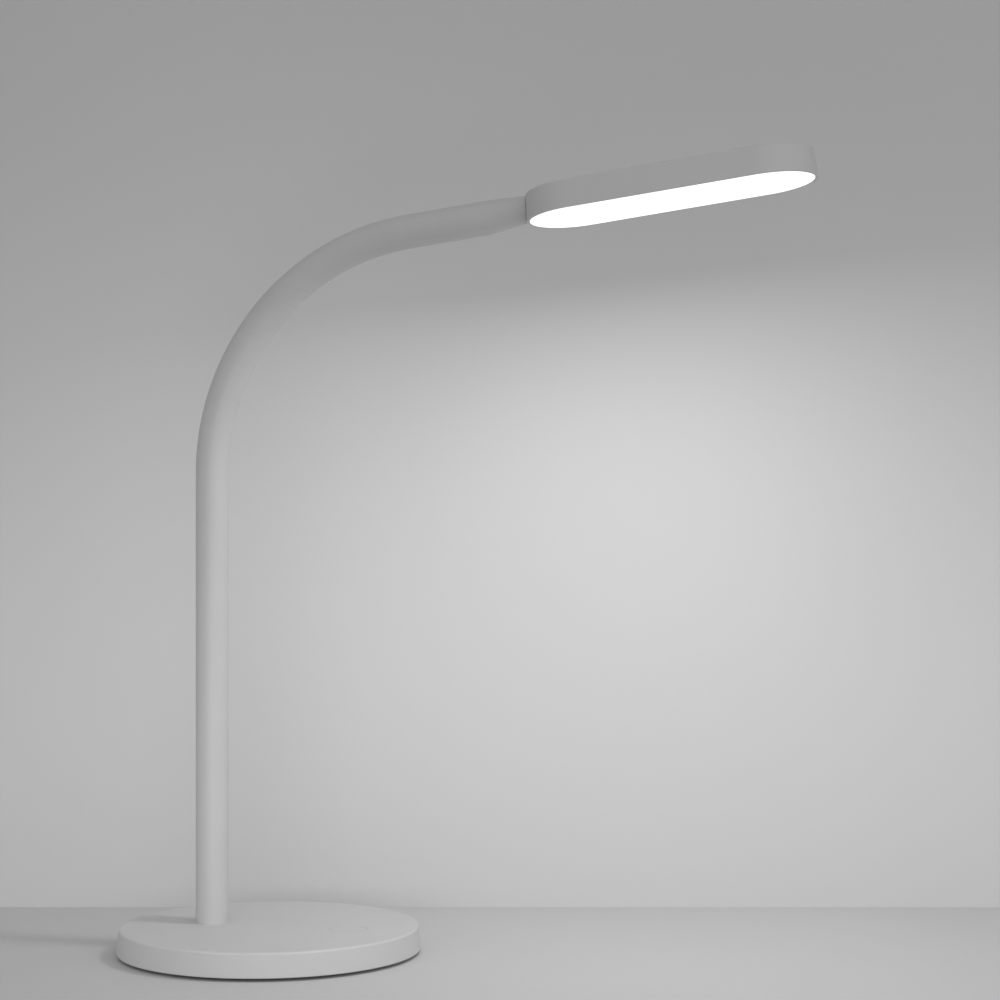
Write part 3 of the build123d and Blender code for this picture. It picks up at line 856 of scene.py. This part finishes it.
strip_finish = new_finish("white_strip")
x, _, z = along_head(strip_finish)
off_gap = abs(beat(x, chip_pitch) - 0.5) * chip_pitch
tinned = inside(off_gap, *pad_along) * (inside(z, *pad_lower) + inside(z, *pad_upper))
mask = grain(strip_finish, 2.0)
tone = tint(strip_finish, mask, grey(0.76), grey(0.8))
tone = tint(strip_finish, tinned, tone, (0.62, 0.62, 0.6))
feed(
    strip_finish,
    base_color=tone,
    metallic=tinned,
    roughness=0.42 - 0.14 * tinned,
    height=(mask, 10),
)
dress(strip_finish, "led_strips")

chip_finish = new_finish("phosphor_chip")
x, _, z = along_head(chip_finish)
off_middle = abs(beat(x + chip_pitch / 2, chip_pitch) - 0.5) * chip_pitch
window = (off_middle < chip_length / 2 - chip_rim) * inside(z, *window_height)
gel = grain(chip_finish, 3.0)
tone = tint(chip_finish, gel, (0.78, 0.52, 0.06), (0.86, 0.62, 0.12))
tone = tint(chip_finish, window, grey(0.78), tone)
feed(chip_finish, base_color=tone, roughness=0.4 - 0.15 * window, height=(gel * window, 30))
dress(chip_finish, "led_chips")

# %% [markdown]
# ## Reflector sheet
# White film behind the guide throws stray light back. It is foamed plastic, so it is white through
# and through, with a soft sheen and a skin of tiny bubbles.

# %% Sheet finish
sheet_finish = new_finish("foamed_sheet")
bubble = crystals(sheet_finish, 6.0)
tone = tint(sheet_finish, grain(sheet_finish, 0.05), grey(0.84), grey(0.88))
feed(sheet_finish, base_color=tone, roughness=0.4 + 0.1 * bubble, height=(bubble, 4))
dress(sheet_finish, "reflector_sheet")

# %% [markdown]
# ## Light guide
# Clear acrylic carries light in from both long edges, and printed white dots on it let the light
# out. The dots are small near the sources and grow towards the middle line, which is what makes the
# panel even. Clear plastic is a transmitting shader, and where a dot lies the colour turns white
# and rough.

# %% Guide finish
guide_finish = new_finish("dotted_acrylic", ior=1.49, transmission_weight=0.85)
x, y, _ = along_head(guide_finish)
dot_pitch, guide_half, dot_small, dot_growth = 2.0, 18.5, 0.18, 0.2
dot_size = dot_small + dot_growth * (1 - abs(y) / guide_half)
dot = from_middle(beat(x, dot_pitch) - 0.5, beat(y, dot_pitch) - 0.5) < dot_size
tone = tint(guide_finish, dot, (0.93, 0.95, 0.95), grey(0.85))
feed(guide_finish, base_color=tone, roughness=0.04 + 0.6 * dot, height=(dot, 20))
dress(guide_finish, "light_guide")

# %% [markdown]
# ## Lit opal panel
# The whole underside of the head is one opal plate that glows evenly, so in the picture it is plain
# white. An emission of exactly one is white without spilling, and a separate lamp throws its light.
# The plate's milk is never quite even, so a broad noise takes a few hundredths off here and there.

# %% Opal finish
opal_finish = new_finish("lit_opal", base_color=(0.8, 0.8, 0.8, 1), emission_strength=1.0)
milk = grain(opal_finish, 0.08)
sand = grain(opal_finish, 3.0)
feed(
    opal_finish,
    emission_color=tint(opal_finish, milk, grey(0.95), grey(1.0)),
    roughness=0.32 + 0.12 * sand,
    height=(sand, 5),
)
dress(opal_finish, "diffuser")

# %% [markdown]
# ## Stage
# The lamp stands on a pale table close to a pale wall that is square to the camera. The wall has to
# be there for the pool of light, but seen from behind it would hide the lamp, as the table would
# from below. So rays from the camera pass through the backs of both. The table's tone is a little
# uneven, and the wall's colour holds a painted pool of light, brightest behind the neck and falling
# off to all sides.

# %% Surfaces of the stage
def open_from_behind(material):
    """Lets rays from the camera through where they meet the back of the surface."""
    tree = material.node_tree
    behind = Signal.node(tree, "NewGeometry", None, None, "Backfacing")
    watched = Signal.node(tree, "LightPath", None, None, "Is Camera Ray")
    painted = Signal(tree.nodes["Principled BSDF"].outputs[0])
    sides = {0: behind * watched, 1: painted, 2: Signal.node(tree, "BsdfTransparent")}
    mixed = Signal.node(tree, "MixShader", None, sides)
    tree.links.new(mixed.socket, tree.nodes["Material Output"].inputs["Surface"])


def painted_pool_share(material, centre, wide, high):
    """Share of a painted pool of light: 1 at the centre, falling off softly to a half at so many
    millimetres to the side or up.
    """
    across, up, _ = millimetres(material, centre)
    apart = from_middle(across / wide, up / high)
    return (1 + apart * apart).math("POWER", -1.0)


def set_stage(name, low, high, roughness, painted_pool=None):
    """Makes the active object a part of the stage, in an uneven tone or with a painted pool of light,
    open from behind.
    """
    part = bpy.context.object
    part.name = name
    material = new_finish(name)
    veil = grain(material, 0.01)
    # Painted light: where a pool is given, the colour grows lighter towards its centre.
    share = 0.9 * painted_pool_share(material, **painted_pool) + 0.1 * veil if painted_pool else veil
    feed(material, base_color=tint(material, share, low, high), roughness=roughness + 0.08 * veil)
    open_from_behind(material)
    part.data.materials.append(material)


print("stage surfaces ready")

# %% [markdown]
# ## Table and wall
# The table lies a tenth of a millimetre low, so that it and the foot don't flicker, and it is open
# under the foot, which then gets some light from below. So it isn't a plane but a ring: a circle a
# little smaller than the foot, extruded once and scaled up. The wall can stay a plain sheet.

# %% Table and wall
wall_depth, wall_size, table_radius, table_sides = 0.117, 6.0, 4.0, 96
table_level, opening = Vector((0, 0, -0.0001)), foot_radius - 0.002
# A painted pool of light in the wall's colour, brightest behind the neck.
painted_wall_pool = {"centre": (-0.043, 0.249, 0), "wide": 155, "high": 195}
look = Vector((-sin(view_turn), cos(view_turn), 0))
upright = (pi / 2, 0, view_turn)
table = start_circle("table", table_sides, opening, table_level)
draw_out(1, Vector((0, 0, 0)))
widen = table_radius / opening
bpy.ops.transform.resize(value=(widen, widen, 1), center_override=table_level)
bpy.ops.object.mode_set(mode="OBJECT")
print("table faces up:", table.data.polygons[0].normal.z > 0)
set_stage("table", grey(0.56), grey(0.585), roughness=0.58)
bpy.ops.object.select_all(action="DESELECT")
bpy.ops.mesh.primitive_plane_add(size=wall_size, location=look * wall_depth, rotation=upright)
# The wall's colour gets the painted pool of light.
set_stage("wall", grey(0.575), grey(0.71), roughness=0.85, painted_pool=painted_wall_pool)
print("wall", wall_depth, "m behind the lamp")

# %% [markdown]
# ## Light
# Four things light the picture: an even room, a long low soft light in front that brings up the
# pole, the rim of the base and the lower wall, a soft light on the right that brings up the side of
# the head, and the lamp itself. An area lamp of the panel's size, just under it, throws the pool of
# light on the wall, and it rides on the head so that the pool goes where the head goes.

# %% Room, soft light and the panel's own light
room_level = 0.525
world = bpy.data.worlds.new("room")
world.use_nodes = True
background = world.node_tree.nodes["Background"]
background.inputs["Color"].default_value = (1, 1, 1, 1)
background.inputs["Strength"].default_value = room_level
bpy.context.scene.world = world
beside = Vector((cos(view_turn), sin(view_turn), 0))


def stand(right, nearer, height):
    """A place to the right of the lamp's middle and nearer to the camera, as the camera sees it."""
    return beside * right - look * nearer + Vector((0, 0, height))


def soft_light(name, size, watts, place, turn):
    """A rectangular lamp that the camera doesn't see."""
    light = bpy.data.objects.new(name, bpy.data.lights.new(name, "AREA"))
    light.data.shape = "RECTANGLE"
    light.data.size, light.data.size_y = size
    light.data.energy = watts
    light.location = place
    light.rotation_euler = turn
    light.visible_camera = False
    bpy.context.scene.collection.objects.link(light)
    return light


front_place = stand(right=0.3, nearer=0.45, height=0.08)
front_light = soft_light("front_light", (2.0, 0.12), watts=0.4, place=front_place, turn=upright)
front_light.data.spread = radians(58)
side_place = stand(right=0.5, nearer=0.7, height=0.3)
side_turn = (pi / 2, 0, view_turn + radians(29.7))
soft_light("side_light", (0.9, 0.3), watts=0.84, place=side_place, turn=side_turn)
panel_size, glow_drop = (0.112, 0.038), 0.001
glow_place = head_centre - head_up * glow_drop
glow = soft_light("panel_glow", panel_size, watts=0.34, place=glow_place, turn=head_turn)
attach(glow, "head")
for place in (front_place, side_place, glow_place):
    print("light at", [round(x, 3) for x in place])
